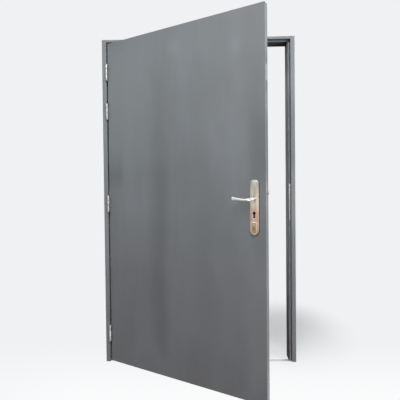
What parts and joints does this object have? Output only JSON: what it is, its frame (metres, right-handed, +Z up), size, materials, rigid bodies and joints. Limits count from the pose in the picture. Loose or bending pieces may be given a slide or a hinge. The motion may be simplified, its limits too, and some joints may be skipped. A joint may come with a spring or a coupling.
{
  "type": "steel container door with frame",
  "caption": "Painted steel door leaf standing half open on lift-proof hinges in a folded steel frame, with lever handle, keyhole cover, latch, dead bolt and upper bolt.",
  "frame": {"origin": "centre of the frame's footprint on the floor, level with the threshold's underside", "axes": "+Z up; -Y out of the doorway, towards the side to which the leaf opens; +X from the hinges to the lock"},
  "size_m": [1.195, 0.8017, 2.02],
  "materials": {
    "paint": "satin grey paint, weathered",
    "stainless": "brushed stainless steel",
    "galvanised": "galvanised steel",
    "rubber": "matte black seal rubber",
    "mineral_wool": "pressed mineral wool"
  },
  "bodies": {
    "frame": {"hinge_jamb": "paint", "lock_jamb": "paint", "head_rail": "paint", "threshold": "galvanised", "hinge_jamb_seal": "rubber", "lock_jamb_seal_upper": "rubber", "lock_jamb_seal_lower": "rubber", "head_seal": "rubber", "main_strike": "stainless", "strike_screws": "stainless", "hinge_1_frame_half": "stainless", "hinge_2_frame_half": "stainless", "hinge_3_frame_half": "stainless", "hinge_4_frame_half": "stainless", "hinge_1_pin": "stainless", "hinge_2_pin": "stainless", "hinge_3_pin": "stainless", "hinge_4_pin": "stainless", "hinge_washers": "galvanised", "hinge_frame_screws": "stainless"},
    "leaf": {"hinge_1_leaf_half": "stainless", "hinge_2_leaf_half": "stainless", "hinge_3_leaf_half": "stainless", "hinge_4_leaf_half": "stainless", "hinge_leaf_screws": "stainless", "leaf_skin": "paint", "inner_skin": "paint", "skin_rivets": "galvanised", "top_closer": "galvanised", "bottom_closer": "galvanised", "hinge_stile": "galvanised", "lock_stile": "galvanised", "upper_rail": "galvanised", "lower_rail": "galvanised", "core_top": "mineral_wool", "core_middle": "mineral_wool", "core_bottom": "mineral_wool", "main_lock_case": "galvanised", "main_forend": "stainless", "upper_lock_case": "galvanised", "upper_forend": "stainless", "forend_screws": "stainless", "outer_backplate": "stainless", "inner_backplate": "stainless", "backplate_bolts": "stainless", "cover_rivet": "stainless"},
    "handle": {"outer_lever": "stainless", "inner_lever": "stainless", "spindle": "galvanised", "lever_follower": "galvanised"},
    "latch": {"latch_bolt": "stainless"},
    "dead_bolt": {"dead_bolt": "stainless"},
    "upper_bolt": {"upper_bolt": "stainless"},
    "link_rod": {"link_rod": "galvanised"},
    "cover": {"keyhole_cover": "stainless"}
  },
  "joints": [
    {"name": "door_hinge", "type": "hinge", "parent": "frame", "child": "leaf", "pos_m": [-0.56825, -0.0755, 0.998], "axis": [0, 0, -1], "range_deg": [-35.8, 114.2]},
    {"name": "lever_turn", "type": "hinge", "parent": "leaf", "child": "handle", "pos_m": [0.31109, -0.68504, 1.036], "axis": [-0.585, -0.8111, 0], "range_deg": [0, 45], "stiffness_Nm_per_rad": 1, "springref_deg": -28.65},
    {"name": "latch_slide", "type": "slide", "parent": "leaf", "child": "latch", "axis": [0.8111, -0.585, 0], "range_m": [-0.012, 0]},
    {"name": "dead_bolt_slide", "type": "slide", "parent": "leaf", "child": "dead_bolt", "axis": [0.8111, -0.585, 0], "range_m": [0, 0.02]},
    {"name": "upper_bolt_slide", "type": "slide", "parent": "leaf", "child": "upper_bolt", "axis": [0.8111, -0.585, 0], "range_m": [0, 0.02]},
    {"name": "link_rod_slide", "type": "slide", "parent": "leaf", "child": "link_rod", "axis": [0, 0, 1], "range_m": [0, 0.01]},
    {"name": "cover_swing", "type": "hinge", "parent": "leaf", "child": "cover", "pos_m": [0.29804, -0.70312, 0.916], "axis": [-0.585, -0.8111, 0], "range_deg": [-180, 180]}
  ],
  "couplings": [
    {"joint": "latch_slide", "follows": "lever_turn", "m_per_rad": -0.01527},
    {"joint": "upper_bolt_slide", "follows": "dead_bolt_slide", "ratio": 1},
    {"joint": "link_rod_slide", "follows": "dead_bolt_slide", "ratio": 0.5}
  ]
}
